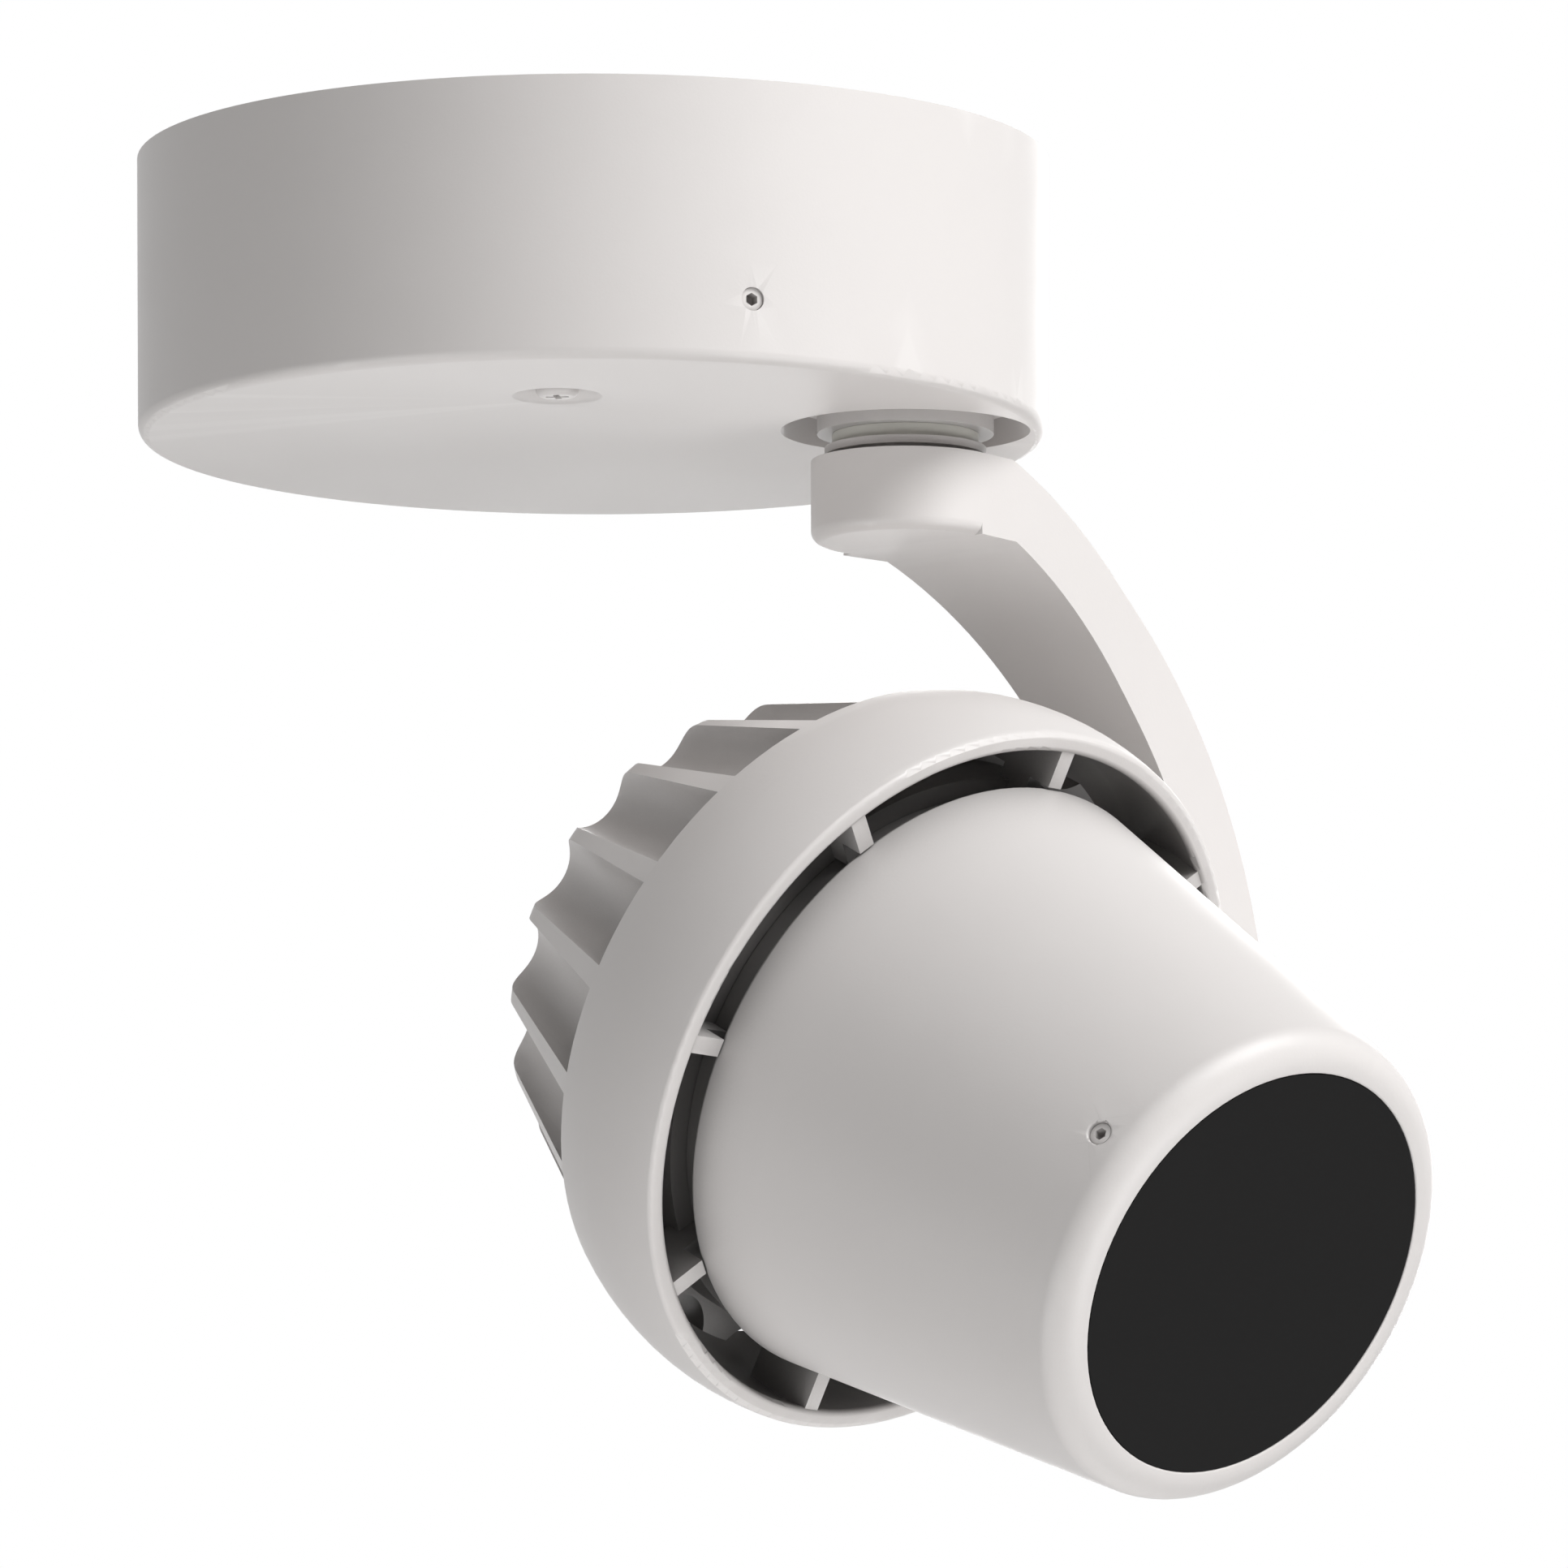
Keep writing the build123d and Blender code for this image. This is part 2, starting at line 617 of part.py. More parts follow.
def make_head_ring():
    """Barrel-shaped collar on eight tabs, whose inner band lies between cone and heat sink."""
    belly = ring_front - ring_length * ring_belly
    outline = make_face([
        ThreePointArc((ring_front_radius, ring_front), (ring_belly_radius, belly), (ring_rear_radius, ring_rear)),
        Line((ring_rear_radius, ring_rear), (ring_rear_radius - ring_wall, ring_rear)),
        ThreePointArc((ring_rear_radius - ring_wall, ring_rear), (ring_belly_radius - ring_wall, belly),
                      (ring_front_radius - ring_wall, ring_front)),
        Line((ring_front_radius - ring_wall, ring_front), (ring_front_radius, ring_front)),
    ])
    lips = outline.vertices().filter_by(lambda v: v.Y > belly)
    ring = revolve(Plane.XZ * fillet(lips, ring_lip_fillet), Axis.Z)
    tab_front = ring_front - tab_sink
    tab_end = ring_front_radius - ring_wall / 2
    half = tab_width / 2
    tab = box_between(cone_skirt_radius + casting_gap, tab_end, -half, half, tab_front - tab_depth, tab_front)
    foot = box_between(cone_neck_radius + casting_gap, tab_end, -half, half, band_back, cone_neck_top - casting_gap)
    band = tube(sink_plate_radius, cone_flange_inner_radius, band_back, band_front)
    ring = ring + band
    for piece in spin(tab + foot, tab_count, 90.0):
        ring = ring + piece
    ring = ring + along_x * rod(tilt_pad_radius, tilt_pad_root, tilt_pad_reach)
    ring = ring - along_x * rod(tilt_thread_radius + fit_gap, tilt_pad_root - 1, tilt_pad_reach + 1)
    screw_hole = Pos(cone_screw_offset, 0, 0) * rod(m3_radius + fit_gap, band_back - 1, band_front + 1)
    for hole in spin(screw_hole, cone_screw_count, cone_screw_first_angle):
        ring = ring - hole
    return ring


def flute_outline(radius):
    """Cross-section of a flute: round floor towards -X, sides that lean out towards +X."""
    lean = math.radians(flute_opening)
    touch_x = -radius * math.sin(lean)
    touch_y = radius * math.cos(lean)
    mouth_y = touch_y + (flute_depth - touch_x) * math.tan(lean)
    return make_face([
        ThreePointArc((touch_x, touch_y), (-radius, 0), (touch_x, -touch_y)),
        Line((touch_x, -touch_y), (flute_depth, -mouth_y)),
        Line((flute_depth, -mouth_y), (flute_depth, mouth_y)),
        Line((flute_depth, mouth_y), (touch_x, touch_y)),
    ])


def make_flute_cutter():
    """Tapered cutter for one flute, from the base plate to behind the rear face."""
    lead = back_of_plate - ring_rear
    fall = math.radians(flute_slope + flute_draft)
    shrink = math.tan(math.radians(flute_draft))
    run = (back_of_plate - sink_rear) / math.cos(fall) + flute_depth
    front_radius = flute_radius + lead * shrink
    rise = (lead + front_radius * math.sin(fall)) * math.tan(math.radians(flute_slope))
    centre = fin_shoulder_radius - flute_depth + front_radius * math.cos(fall) + rise
    rear = Pos(0, 0, -run) * flute_outline(front_radius - run * shrink)
    cutter = loft([rear, flute_outline(front_radius)], ruled=True)
    return Pos(centre, 0, back_of_plate) * Rot(0, math.degrees(fall), 0) * cutter


def make_heat_sink():
    """Base plate and a tapered body, fluted all round into fins, with a dished rear face."""
    shoulder = ring_rear - slide_gap
    outline = make_face(Polyline(
        (0, sink_front), (sink_plate_radius, sink_front), (sink_plate_radius, back_of_plate),
        (fin_inner_radius, back_of_plate), (fin_inner_radius, shoulder), (fin_shoulder_radius, shoulder),
        (fin_rear_radius, sink_rear), (sink_dish_radius, sink_rear),
        (sink_dish_radius - 1.5, sink_rear + sink_dish_depth), (0, sink_rear + sink_dish_depth), close=True))
    corner = outline.vertices().filter_by(lambda v: v.X > sink_dish_radius + 1).sort_by(Axis.Y)[0]
    body = revolve(Plane.XZ * fillet(corner, fin_corner), Axis.Z)
    for piece in spin(make_flute_cutter(), fin_count, 180.0 / fin_count):
        body = body - piece
    screw_low = band_front + cone_flange - cone_screw_length - 0.5
    screw_hole = Pos(cone_screw_offset, 0, 0) * rod(m3_radius + fit_gap, screw_low, sink_front + 1)
    for hole in spin(screw_hole, cone_screw_count, cone_screw_first_angle):
        body = body - hole
    holder_hole = Pos(0, holder_screw_offset, 0) * rod(m3_radius + fit_gap, sink_front - 6, sink_front + 1)
    for hole in spin(holder_hole, 2):
        body = body - hole
    lead_hole = Pos(lead_hole_offset, 0, 0) * rod(lead_hole_radius, sink_front - 4, sink_front + 1)
    return body - lead_hole


def make_front_cone():
    neck_inner = cone_neck_radius - cone_neck_wall
    inner_low = cone_skirt + cone_wall
    outline = make_face(Polyline(
        (cone_flange_inner_radius, band_front), (cone_neck_radius, band_front), (cone_neck_radius, cone_neck_top),
        (cone_skirt_radius, cone_skirt), (cone_front_radius, cone_front),
        (glass_radius + slide_gap, cone_front), (glass_radius + slide_gap, lip_back),
        (cone_radius_at(lip_back) - cone_wall, lip_back), (cone_radius_at(inner_low) - cone_wall, inner_low),
        (neck_inner, cone_neck_top + cone_neck_wall / 2), (neck_inner, band_front + cone_flange),
        (cone_flange_inner_radius, band_front + cone_flange), close=True))
    nose = outline.vertices().filter_by(
        lambda v: abs(v.X - cone_front_radius) < 0.01 and abs(v.Y - cone_front) < 0.01)
    shell = revolve(Plane.XZ * fillet(nose, cone_nose_radius), Axis.Z)
    screw_hole = Pos(cone_screw_offset, 0, 0) * rod(m3_radius + fit_gap, band_front - 1, band_front + cone_flange + 1)
    for hole in spin(screw_hole, cone_screw_count, cone_screw_first_angle):
        shell = shell - hole
    clamp_hole = Pos(0, 0, clamp_screw_z) * along_x * rod(m3_radius + fit_gap, clamp_inner_radius, cone_skirt_radius)
    for hole in spin(clamp_hole, clamp_screw_count, clamp_screw_angle):
        shell = shell - hole
    return shell


def make_cone_screws():
    seat = Pos(cone_screw_offset, 0, band_front + cone_flange)
    return Compound(spin(seat * pan_screw(cone_screw_length), cone_screw_count, cone_screw_first_angle))


def make_front_glass():
    return turned((0, glass_flange_back), (glass_flange_radius, glass_flange_back),
                  (glass_flange_radius, glass_flange_front), (glass_radius, glass_flange_front),
                  (glass_radius, glass_front), (0, glass_front))


def make_glass_gasket():
    return tube(glass_flange_radius, glass_radius + slide_gap, glass_flange_front, lip_back)


def clamp_outer_radius():
    return cone_radius_at(glass_flange_back) - cone_wall - casting_gap


def clamp_screw_head():
    return cone_radius_at(clamp_screw_z) - clamp_screw_sink


def make_glass_clamp_ring():
    """Ring behind the glass, with a pocket for the point of each clamp screw."""
    ring = tube(clamp_outer_radius(), clamp_inner_radius, clamp_back, glass_flange_back)
    deep = clamp_screw_head() - clamp_screw_length
    pocket = Pos(0, 0, clamp_screw_z) * along_x * rod(m3_radius + fit_gap, deep, cone_skirt_radius)
    for hole in spin(pocket, clamp_screw_count, clamp_screw_angle):
        ring = ring - hole
    return ring


def make_clamp_screws():
    placed = Pos(0, 0, clamp_screw_z) * along_x * Pos(0, 0, clamp_screw_head())
    return Compound(spin(placed * grub_screw(clamp_screw_length), clamp_screw_count, clamp_screw_angle))


def make_reflector():
    """Spun reflector from the LED to the clamp ring, with a flange at its mouth."""
    mouth_z = clamp_back
    middle_r = reflector_throat_radius + (reflector_mouth_radius - reflector_throat_radius) * 0.68
    middle_z = holder_front + (mouth_z - holder_front) * 0.42
    w = reflector_wall
    flange = clamp_outer_radius() - 1
    outline = make_face([
        ThreePointArc((reflector_throat_radius, holder_front), (middle_r, middle_z),
                      (reflector_mouth_radius, mouth_z)),
        Line((reflector_mouth_radius, mouth_z), (flange, mouth_z)),
        Line((flange, mouth_z), (flange, mouth_z - reflector_flange)),
        Line((flange, mouth_z - reflector_flange), (reflector_mouth_radius + w, mouth_z - reflector_flange)),
        ThreePointArc((reflector_mouth_radius + w, mouth_z - reflector_flange), (middle_r + w, middle_z - 0.3),
                      (reflector_throat_radius + w, holder_front)),
        Line((reflector_throat_radius + w, holder_front), (reflector_throat_radius, holder_front)),
    ])
    return revolve(Plane.XZ * outline, Axis.Z)


def make_led_holder():
    led_pocket = pad_thickness + led_thickness
    holder = turned((holder_window_radius, sink_front + led_pocket), (holder_radius, sink_front + led_pocket),
                    (holder_radius, holder_front - 1.5), (holder_radius - 1.5, holder_front),
                    (reflector_throat_radius, holder_front), (holder_window_radius, holder_front - 2))
    skirt = tube(holder_radius, led_side * 0.75, sink_front, sink_front + led_pocket)
    holder = holder + skirt
    hole = Pos(0, holder_screw_offset, 0) * rod(m3_radius + fit_gap, sink_front - 1, holder_front + 1)
    sunk = Pos(0, holder_screw_offset, 0) * rod(m3_head_radius + casting_gap, holder_front - m3_head_height,
                                               holder_front + 1)
    for cut in spin(hole + sunk, 2):
        holder = holder - cut
    return holder


def make_led_holder_screws():
    screw = Pos(0, holder_screw_offset, holder_front - m3_head_height) * pan_screw(holder_height + 1)
    return Compound(spin(screw, 2))


def make_led_module():
    low = sink_front + pad_thickness
    board = Pos(0, 0, low) * extrude(Rectangle(led_side, led_side), led_thickness)
    return board + rod(led_emitter_radius, low + led_thickness, low + led_thickness + led_emitter)


def make_thermal_pad():
    return Pos(0, 0, sink_front) * extrude(Rectangle(led_side, led_side), pad_thickness)


def make_tilt_bolt():
    """Hollow shoulder bolt: the leads pass through it into the head."""
    head = rod(tilt_bolt_head_radius, bolt_head_low, bolt_head_top)
    head = fillet(head.edges().group_by(Axis.Z)[-1], 0.6)
    head = head - hexagon_rod(tilt_socket_flat, bolt_head_low + 1, bolt_head_top + 1)
    bolt = head + rod(tilt_bolt_radius, tilt_pad_reach, bolt_head_low)
    bolt = bolt + rod(tilt_thread_radius, tilt_pad_root, tilt_pad_reach)
    return along_x * (bolt - rod(tilt_bolt_bore, tilt_pad_root - 1, bolt_head_top + 1))


def make_tilt_spring_washer():
    washer = cone_washer(tilt_bolt_head_radius, tilt_bolt_radius + fit_gap,
                         tilt_spring_thickness, tilt_spring_cone)
    return arm_tilt_axis * Pos(0, 0, cup_floor) * washer


canopy_parts = {
    "canopy_housing": make_canopy_housing,
    "ceiling_plate": make_ceiling_plate,
    "cable_grommet": make_cable_grommet,
    "canopy_grub_screws": make_canopy_grub_screws,
    "driver_case": make_driver_case,
    "driver_lid": make_driver_lid,
    "driver_board": make_driver_board,
    "driver_fixing_screw": make_driver_fixing_screw,
    "terminal_block": make_terminal_block,
    "terminal_screws": make_terminal_screws,
    "earth_screw": make_earth_screw,
    "pan_bush": make_pan_bush,
    "pan_stop_pin": make_pan_stop_pin,
}
arm_parts = {
    "swing_arm": make_swing_arm,
    "pan_spindle": make_pan_spindle,
    "pan_stop_washer": make_pan_stop_washer,
    "pan_spring_washer": make_pan_spring_washer,
    "pan_nut": make_pan_nut,
    "tilt_cap": make_tilt_cap,
    "tilt_friction_washer": make_tilt_friction_washer,
    "tilt_spring_washer": make_tilt_spring_washer,
}
head_parts = {
    "tilt_bolt": make_tilt_bolt,
    "head_ring": make_head_ring,
    "heat_sink": make_heat_sink,
    "front_cone": make_front_cone,
    "cone_screws": make_cone_screws,
    "front_glass": make_front_glass,
    "glass_gasket": make_glass_gasket,
    "glass_clamp_ring": make_glass_clamp_ring,
    "clamp_screws": make_clamp_screws,
    "reflector": make_reflector,
    "led_module": make_led_module,
    "led_holder": make_led_holder,
    "led_holder_screws": make_led_holder_screws,
    "thermal_pad": make_thermal_pad,
}

os.makedirs("parts", exist_ok=True)
for parts, frame in ((canopy_parts, Pos(0, 0, 0)), (arm_parts, swivel_frame), (head_parts, head_frame)):
    for name, make in parts.items():
        export_step(frame * make(), f"parts/{name}.step")
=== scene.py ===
import json
import math
import bpy
from mathutils import Matrix, Vector

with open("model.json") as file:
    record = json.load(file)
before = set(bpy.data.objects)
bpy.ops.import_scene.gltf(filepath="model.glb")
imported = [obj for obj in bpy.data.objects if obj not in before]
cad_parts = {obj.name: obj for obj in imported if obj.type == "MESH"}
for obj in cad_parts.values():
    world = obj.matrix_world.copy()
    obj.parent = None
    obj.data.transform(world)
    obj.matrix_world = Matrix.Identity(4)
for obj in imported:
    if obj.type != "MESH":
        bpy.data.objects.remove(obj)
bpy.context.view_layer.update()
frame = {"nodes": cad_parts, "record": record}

NODES = frame["nodes"]
MM = 0.001

# ---------------------------------------------------------------- camera, from the photograph
VIEW_TURN = math.radians(7.72)
VIEW_RISE = math.radians(9.05)
VIEW_DISTANCE = 2.5
AIM = (0.0252, -0.0833)       # right of the canopy's axis, and below the ceiling
PIXELS_PER_METRE = 9401.0     # at the aim point, in the photograph's 1932 pixels
PHOTO_WIDTH = 1932
SENSOR = 36.0

RIGHT = Vector((math.cos(VIEW_TURN), math.sin(VIEW_TURN), 0))
AWAY = Vector((-math.sin(VIEW_TURN), math.cos(VIEW_TURN), 0))
UP = Vector((0, 0, 1))
LOOK = AWAY * math.cos(VIEW_RISE) + UP * math.sin(VIEW_RISE)
CAMERA_UP = UP * math.cos(VIEW_RISE) - AWAY * math.sin(VIEW_RISE)
TARGET = RIGHT * AIM[0] + UP * AIM[1]


def add_camera():
    data = bpy.data.cameras.new("photo_camera")
    data.sensor_width = SENSOR
    data.lens = PIXELS_PER_METRE * VIEW_DISTANCE / PHOTO_WIDTH * SENSOR
    data.clip_start = 0.05
    data.clip_end = 50
    camera = bpy.data.objects.new("photo_camera", data)
    bpy.context.scene.collection.objects.link(camera)
    place = TARGET - LOOK * VIEW_DISTANCE
    turn = Matrix((RIGHT, CAMERA_UP, -LOOK)).transposed()
    camera.matrix_world = Matrix.Translation(place) @ turn.to_4x4()
    bpy.context.scene.camera = camera


# ---------------------------------------------------------------- studio
# Soft boxes: turn to the right of the camera and rise above it in degrees, distance from the
# aim point and side in metres, and power in watts.
SOFT_BOXES = {
    "key": (60, 40, 1.6, 0.8, 23.0),
    "front_high": (20, 40, 1.6, 0.8, 5.0),
    "right_low": (60, -40, 1.2, 0.8, 6.5),
    "left_low": (-60, -40, 1.2, 0.8, 4.5),
    "front_low": (-20, -40, 1.2, 0.8, 2.0),
    "back": (170, 10, 1.6, 0.8, 9.0),
}
AMBIENT = 0.06
FLOOR_DROP = 1.05
FLOOR_GLOW = 0.62             # pale to the camera and in reflections, without more light on the object


def add_soft_box(name, turn, rise, distance, side, power):
    data = bpy.data.lights.new(name, "AREA")
    data.shape = "SQUARE"
    data.size = side
    data.energy = power
    light = bpy.data.objects.new(name, data)
    bpy.context.scene.collection.objects.link(light)
    turn, rise = math.radians(turn), math.radians(rise)
    toward = (RIGHT * math.sin(turn) - AWAY * math.cos(turn)) * math.cos(rise) + UP * math.sin(rise)
    light.location = TARGET + toward * distance
    light.rotation_euler = toward.to_track_quat("Z", "Y").to_euler()
    light.visible_camera = False


def background_rays(nodes, links):
    """Socket that is 1 on the rays that show the background: the camera's, and those that metal and glass send on."""
    path = nodes.new("ShaderNodeLightPath")
    shows = path.outputs["Is Camera Ray"]
    for ray in ("Is Glossy Ray", "Is Transmission Ray"):
        either = nodes.new("ShaderNodeMath")
        either.operation = "MAXIMUM"
        links.new(shows, either.inputs[0])
        links.new(path.outputs[ray], either.inputs[1])
        shows = either.outputs[0]
    return shows


def add_world():
    world = bpy.data.worlds.new("studio")
    world.use_nodes = True
    bpy.context.scene.world = world
    nodes, links = world.node_tree.nodes, world.node_tree.links
    nodes.clear()
    out = nodes.new("ShaderNodeOutputWorld")
    seen = nodes.new("ShaderNodeBackground")
    seen.inputs["Color"].default_value = (1, 1, 1, 1)
    seen.inputs["Strength"].default_value = 1
    soft = nodes.new("ShaderNodeBackground")
    soft.inputs["Color"].default_value = (1, 0.985, 0.975, 1)
    soft.inputs["Strength"].default_value = AMBIENT
    mix = nodes.new("ShaderNodeMixShader")
    links.new(background_rays(nodes, links), mix.inputs["Fac"])
    links.new(soft.outputs[0], mix.inputs[1])
    links.new(seen.outputs[0], mix.inputs[2])
    links.new(mix.outputs[0], out.inputs["Surface"])


def add_floor():
    side = 6.0
    mesh = bpy.data.meshes.new("floor")
    corners = [(x * side, y * side, -FLOOR_DROP) for x, y in ((-1, -1), (1, -1), (1, 1), (-1, 1))]
    mesh.from_pydata(corners, [], [(0, 1, 2, 3)])
    floor = bpy.data.objects.new("floor", mesh)
    bpy.context.scene.collection.objects.link(floor)
    white = surface("floor_white", (0.80, 0.80, 0.80), 0.85)
    nodes, links = white.node_tree.nodes, white.node_tree.links
    glow = nodes.new("ShaderNodeMath")
    glow.operation = "MULTIPLY"
    glow.inputs[1].default_value = FLOOR_GLOW
    links.new(background_rays(nodes, links), glow.inputs[0])
    links.new(glow.outputs[0], nodes["Principled BSDF"].inputs["Emission Strength"])
    nodes["Principled BSDF"].inputs["Emission Color"].default_value = (1, 1, 1, 1)
    floor.data.materials.append(white)


# ---------------------------------------------------------------- materials
def surface(name, color, roughness, metallic=0.0, grain=0.0, grain_depth=0.0, grain_stretch=(1, 1, 1),
            mottle=0.0, mottle_scale=60.0, wear=0.0, wear_color=None, rough_spread=0.06, specular=0.5,
            coat=0.0, painted_shade=0.0, painted_shade_depth=6.0):
    """Principled surface with fine grain bump, slow colour and roughness mottling, worn edges, and painted shade:
    a darker colour in crevices about the given depth in millimetres deep, found by ambient occlusion."""
    material = bpy.data.materials.new(name)
    material.use_nodes = True
    nodes, links = material.node_tree.nodes, material.node_tree.links
    shader = nodes["Principled BSDF"]
    shader.inputs["Metallic"].default_value = metallic
    shader.inputs["Specular IOR Level"].default_value = specular
    shader.inputs["Coat Weight"].default_value = coat
    shader.inputs["Base Color"].default_value = (*color, 1)
    shader.inputs["Roughness"].default_value = roughness
    place = nodes.new("ShaderNodeTexCoord")
    last = None
    if mottle > 0:
        cloud = nodes.new("ShaderNodeTexNoise")
        cloud.inputs["Scale"].default_value = mottle_scale
        cloud.inputs["Detail"].default_value = 5
        links.new(place.outputs["Object"], cloud.inputs["Vector"])
        tone = nodes.new("ShaderNodeMix")
        tone.data_type = "RGBA"
        tone.inputs[6].default_value = (*[c * (1 - mottle) for c in color], 1)
        tone.inputs[7].default_value = (*[min(1, c * (1 + mottle)) for c in color], 1)
        links.new(cloud.outputs["Fac"], tone.inputs[0])
        last = tone.outputs[2]
        rough = nodes.new("ShaderNodeMapRange")
        rough.inputs["To Min"].default_value = max(0.02, roughness - rough_spread)
        rough.inputs["To Max"].default_value = min(1, roughness + rough_spread)
        links.new(cloud.outputs["Fac"], rough.inputs["Value"])
        links.new(rough.outputs["Result"], shader.inputs["Roughness"])
    if wear > 0:
        shape = nodes.new("ShaderNodeNewGeometry")
        edge = nodes.new("ShaderNodeMapRange")
        edge.inputs["From Min"].default_value = 0.52
        edge.inputs["From Max"].default_value = 0.62
        edge.inputs["To Max"].default_value = wear
        links.new(shape.outputs["Pointiness"], edge.inputs["Value"])
        worn = nodes.new("ShaderNodeMix")
        worn.data_type = "RGBA"
        worn.inputs[6].default_value = (*color, 1)
        worn.inputs[7].default_value = (*(wear_color or color), 1)
        links.new(edge.outputs["Result"], worn.inputs[0])
        if last:
            links.new(last, worn.inputs[6])
        last = worn.outputs[2]
    # Painted shade: ambient occlusion darkens the base colour in crevices and gaps, where shade falls.
    if painted_shade > 0:
        hollow = nodes.new("ShaderNodeAmbientOcclusion")
        hollow.samples = 8
        hollow.inputs["Distance"].default_value = painted_shade_depth * MM
        open_share = nodes.new("ShaderNodeMapRange")
        open_share.inputs["From Min"].default_value = 0.15
        open_share.inputs["From Max"].default_value = 0.92
        links.new(hollow.outputs["AO"], open_share.inputs["Value"])
        shaded = nodes.new("ShaderNodeMix")
        shaded.data_type = "RGBA"
        shaded.inputs[6].default_value = (*[c * (1 - painted_shade) for c in color], 1)
        shaded.inputs[7].default_value = (*color, 1)
        links.new(open_share.outputs["Result"], shaded.inputs[0])
        if last:
            links.new(last, shaded.inputs[7])
        last = shaded.outputs[2]
    if last:
        links.new(last, shader.inputs["Base Color"])
    if grain_depth > 0:
        stretch = nodes.new("ShaderNodeMapping")
        stretch.inputs["Scale"].default_value = grain_stretch
        links.new(place.outputs["Object"], stretch.inputs["Vector"])
        fine = nodes.new("ShaderNodeTexNoise")
        fine.inputs["Scale"].default_value = grain
        fine.inputs["Detail"].default_value = 3
        links.new(stretch.outputs["Vector"], fine.inputs["Vector"])
        bump = nodes.new("ShaderNodeBump")
        bump.inputs["Strength"].default_value = 0.35
        bump.inputs["Distance"].default_value = grain_depth
        links.new(fine.outputs["Fac"], bump.inputs["Height"])
        links.new(bump.outputs["Normal"], shader.inputs["Normal"])
    return material


PAINT = (0.700, 0.672, 0.658)
PAINT_EDGE = (0.80, 0.775, 0.76)


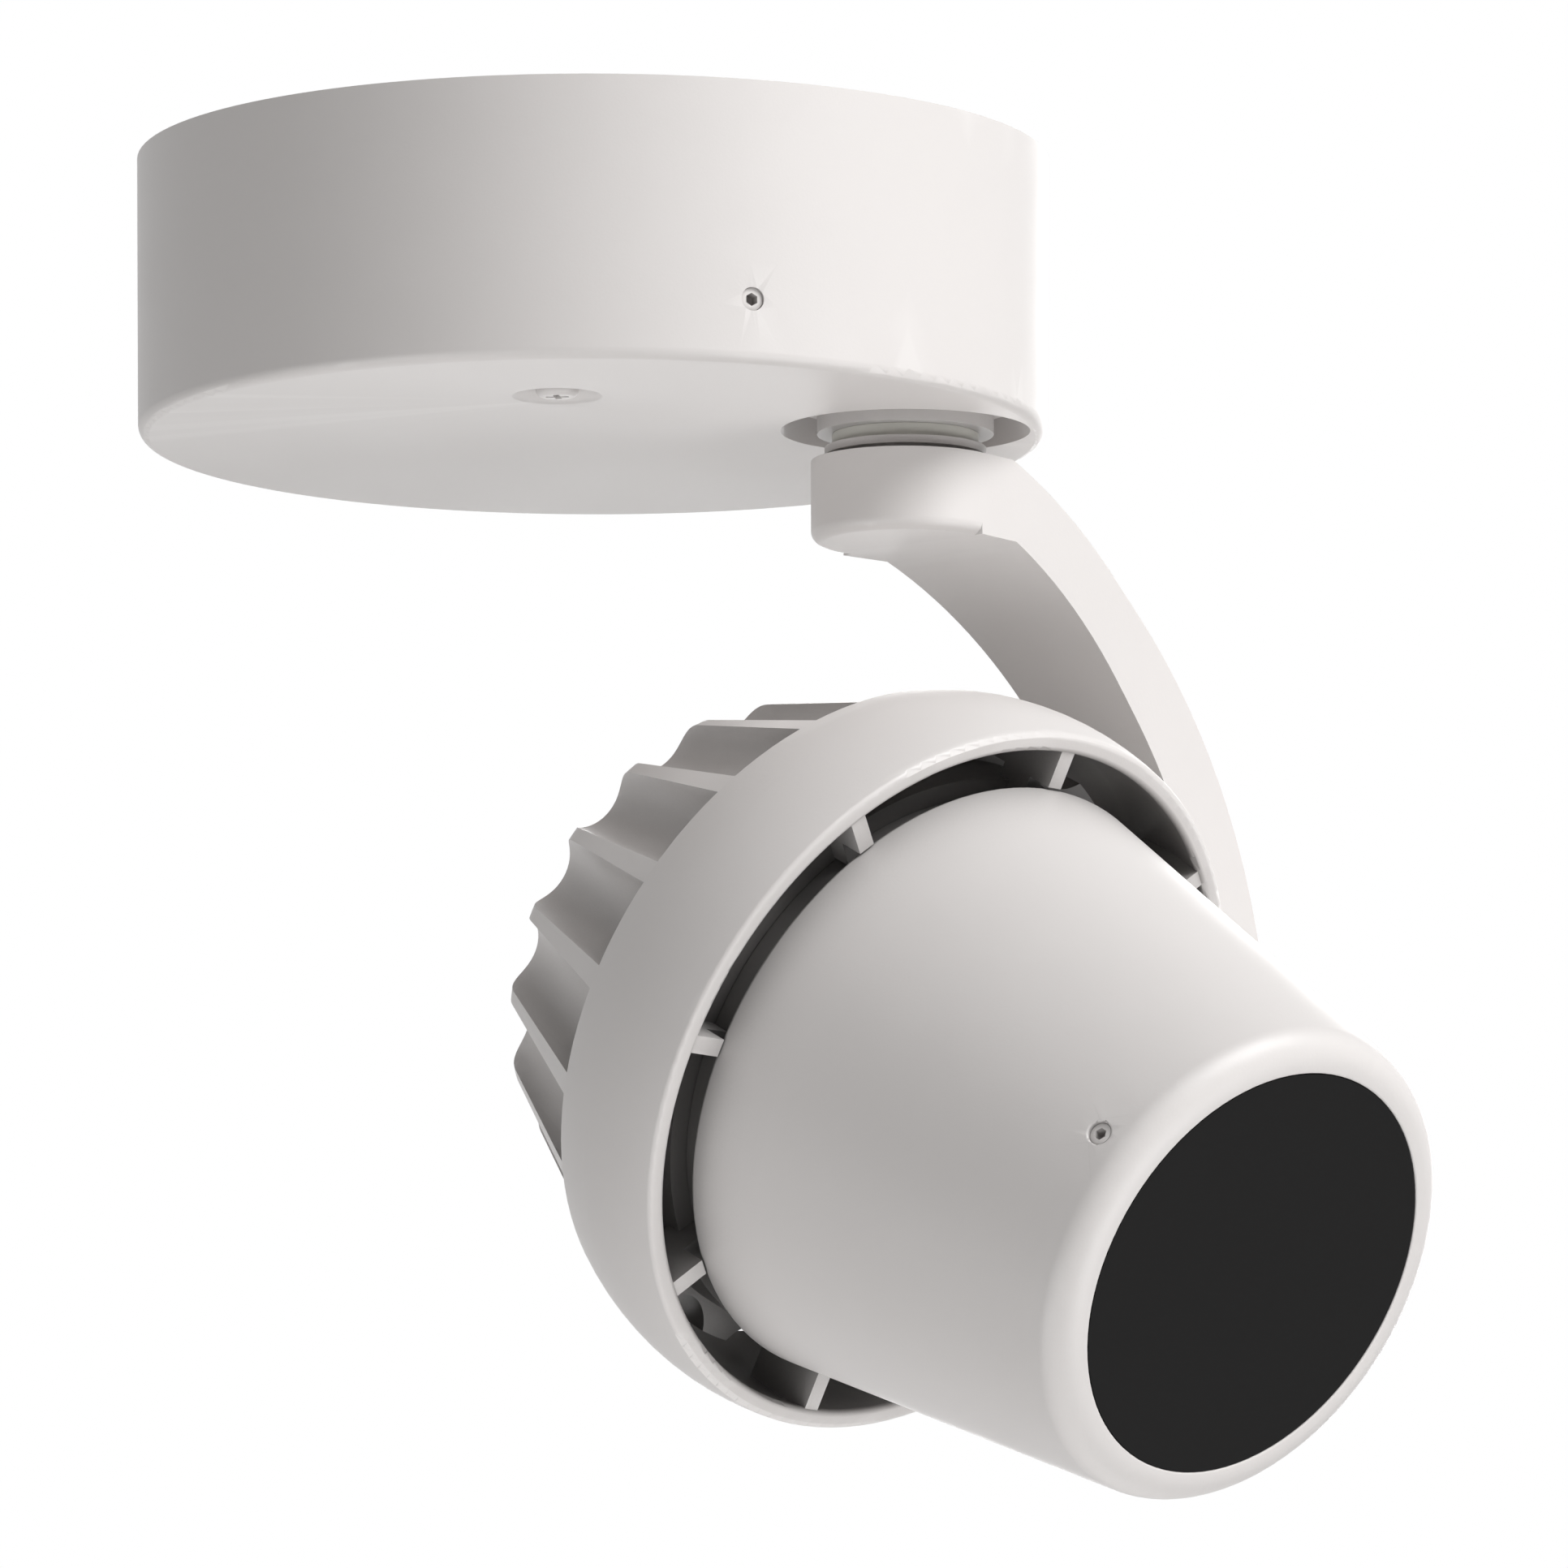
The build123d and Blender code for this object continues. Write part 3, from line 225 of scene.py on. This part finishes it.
def make_finishes():
    return {
        # Both powder coats carry painted shade: their colour darkens in crevices, and most strongly in the deep gaps
        # of the head.
        "body_paint": surface("satin_powder_coat", PAINT, 0.42, grain=2600, grain_depth=0.00003, mottle=0.012,
                              mottle_scale=45, wear=0.35, wear_color=PAINT_EDGE, rough_spread=0.05,
                              painted_shade=0.30),
        "paint_with_painted_gap_shade": surface("satin_powder_coat_with_painted_gap_shade", PAINT, 0.42, grain=2600, grain_depth=0.00003,
                             mottle=0.012, mottle_scale=45, wear=0.35, wear_color=PAINT_EDGE,
                             rough_spread=0.05, painted_shade=0.75, painted_shade_depth=13.0),
        "zinc_sheet": surface("zinc_plated_sheet", (0.30, 0.31, 0.32), 0.65, metallic=1, grain=500,
                              grain_depth=0.00002, grain_stretch=(1, 12, 1), mottle=0.08, mottle_scale=130,
                              wear=0.4, wear_color=(0.38, 0.39, 0.40)),
        "steel": surface("zinc_plated_steel", (0.56, 0.56, 0.57), 0.32, metallic=1, grain=1800,
                         grain_depth=0.00001, mottle=0.06, mottle_scale=300, wear=0.5,
                         wear_color=(0.78, 0.78, 0.79)),
        "rubber": surface("black_rubber", (0.035, 0.035, 0.036), 0.75, grain=1500, grain_depth=0.00004,
                          mottle=0.15, mottle_scale=200, wear=0.3, wear_color=(0.09, 0.09, 0.09)),
        "case_plastic": surface("white_case_plastic", (0.68, 0.68, 0.665), 0.5, grain=1700,
                                grain_depth=0.00004, mottle=0.02, wear=0.3, wear_color=(0.78, 0.78, 0.77)),
        "circuit_board": surface("green_circuit_board", (0.025, 0.14, 0.06), 0.4, grain=900,
                                 grain_depth=0.00003, mottle=0.2, mottle_scale=250, coat=0.4),
        "nylon": surface("natural_nylon", (0.64, 0.63, 0.58), 0.45, grain=1200, grain_depth=0.00003,
                         mottle=0.03, wear=0.3, wear_color=(0.74, 0.73, 0.68)),
        "brass": surface("plain_brass", (0.72, 0.52, 0.22), 0.3, metallic=1, grain=1500, grain_depth=0.00001,
                         mottle=0.08, mottle_scale=300, wear=0.4, wear_color=(0.86, 0.68, 0.36)),
        "dark_glass": surface("black_glass", (0.0155, 0.0152, 0.0152), 0.30, specular=0.03, grain=350,
                              grain_depth=0.000004, mottle=0.02, mottle_scale=40, rough_spread=0.04),
        "clamp_aluminium": surface("dark_anodised_aluminium", (0.12, 0.12, 0.125), 0.4, metallic=1,
                                   grain=900, grain_depth=0.00001, mottle=0.05, wear=0.4,
                                   wear_color=(0.4, 0.4, 0.4)),
        "reflector_aluminium": surface("spun_reflector", (0.86, 0.86, 0.87), 0.18, metallic=1, grain=700,
                                       grain_depth=0.00002, mottle=0.02, mottle_scale=90),
        "led_board": surface("led_phosphor", (0.85, 0.62, 0.12), 0.5, grain=1500, grain_depth=0.00003,
                             mottle=0.06, mottle_scale=400),
        "holder_plastic": surface("white_holder_plastic", (0.80, 0.80, 0.78), 0.5, grain=1500,
                                  grain_depth=0.00003, mottle=0.02, wear=0.3, wear_color=(0.88, 0.88, 0.87)),
        "pad": surface("thermal_pad_grey", (0.2, 0.24, 0.28), 0.8, grain=900, grain_depth=0.00005,
                       mottle=0.1, mottle_scale=250),
    }


# ---------------------------------------------------------------- CAD nodes
EDGE_WIDTH = {
    "canopy_housing": 0.5, "swing_arm": 0.8, "head_ring": 0.25, "heat_sink": 0.7, "front_cone": 0.3,
    "tilt_cap": 0.2, "ceiling_plate": 0.3, "driver_case": 0.5, "driver_lid": 0.4, "terminal_block": 0.3,
    "led_holder": 0.3, "pan_nut": 0.15,
}
SMALL_EDGE = 0.1
# Nodes whose finish isn't their slot's: screws that are painted over, and castings whose deep gaps get painted shade.
OTHER_FINISH = {
    "canopy_grub_screws": "body_paint", "driver_fixing_screw": "body_paint", "clamp_screws": "body_paint",
    "head_ring": "paint_with_painted_gap_shade", "heat_sink": "paint_with_painted_gap_shade", "front_cone": "paint_with_painted_gap_shade",
}


def dress_nodes(finishes):
    slots = {part["node"]: part["material_slot"] for part in frame["record"]["subparts"]}
    for name, node in NODES.items():
        node.data.materials.clear()
        node.data.materials.append(finishes[OTHER_FINISH.get(name, slots[name])])
        weld = node.modifiers.new("weld", "WELD")
        weld.merge_threshold = 0.005 * MM
        bevel = node.modifiers.new("edges", "BEVEL")
        bevel.width = EDGE_WIDTH.get(name, SMALL_EDGE) * MM
        bevel.segments = 3
        bevel.limit_method = "ANGLE"
        bevel.angle_limit = math.radians(38)
        bevel.use_clamp_overlap = True
        bevel.harden_normals = False
        shading = node.modifiers.new("shading", "WEIGHTED_NORMAL")
        shading.keep_sharp = False
        shading.weight = 60
        for face in node.data.polygons:
            face.use_smooth = True


bpy.context.scene.view_settings.view_transform = "Standard"
add_camera()
add_world()
for box_name, settings in SOFT_BOXES.items():
    add_soft_box(box_name, *settings)
add_floor()
dress_nodes(make_finishes())

bpy.context.view_layer.update()
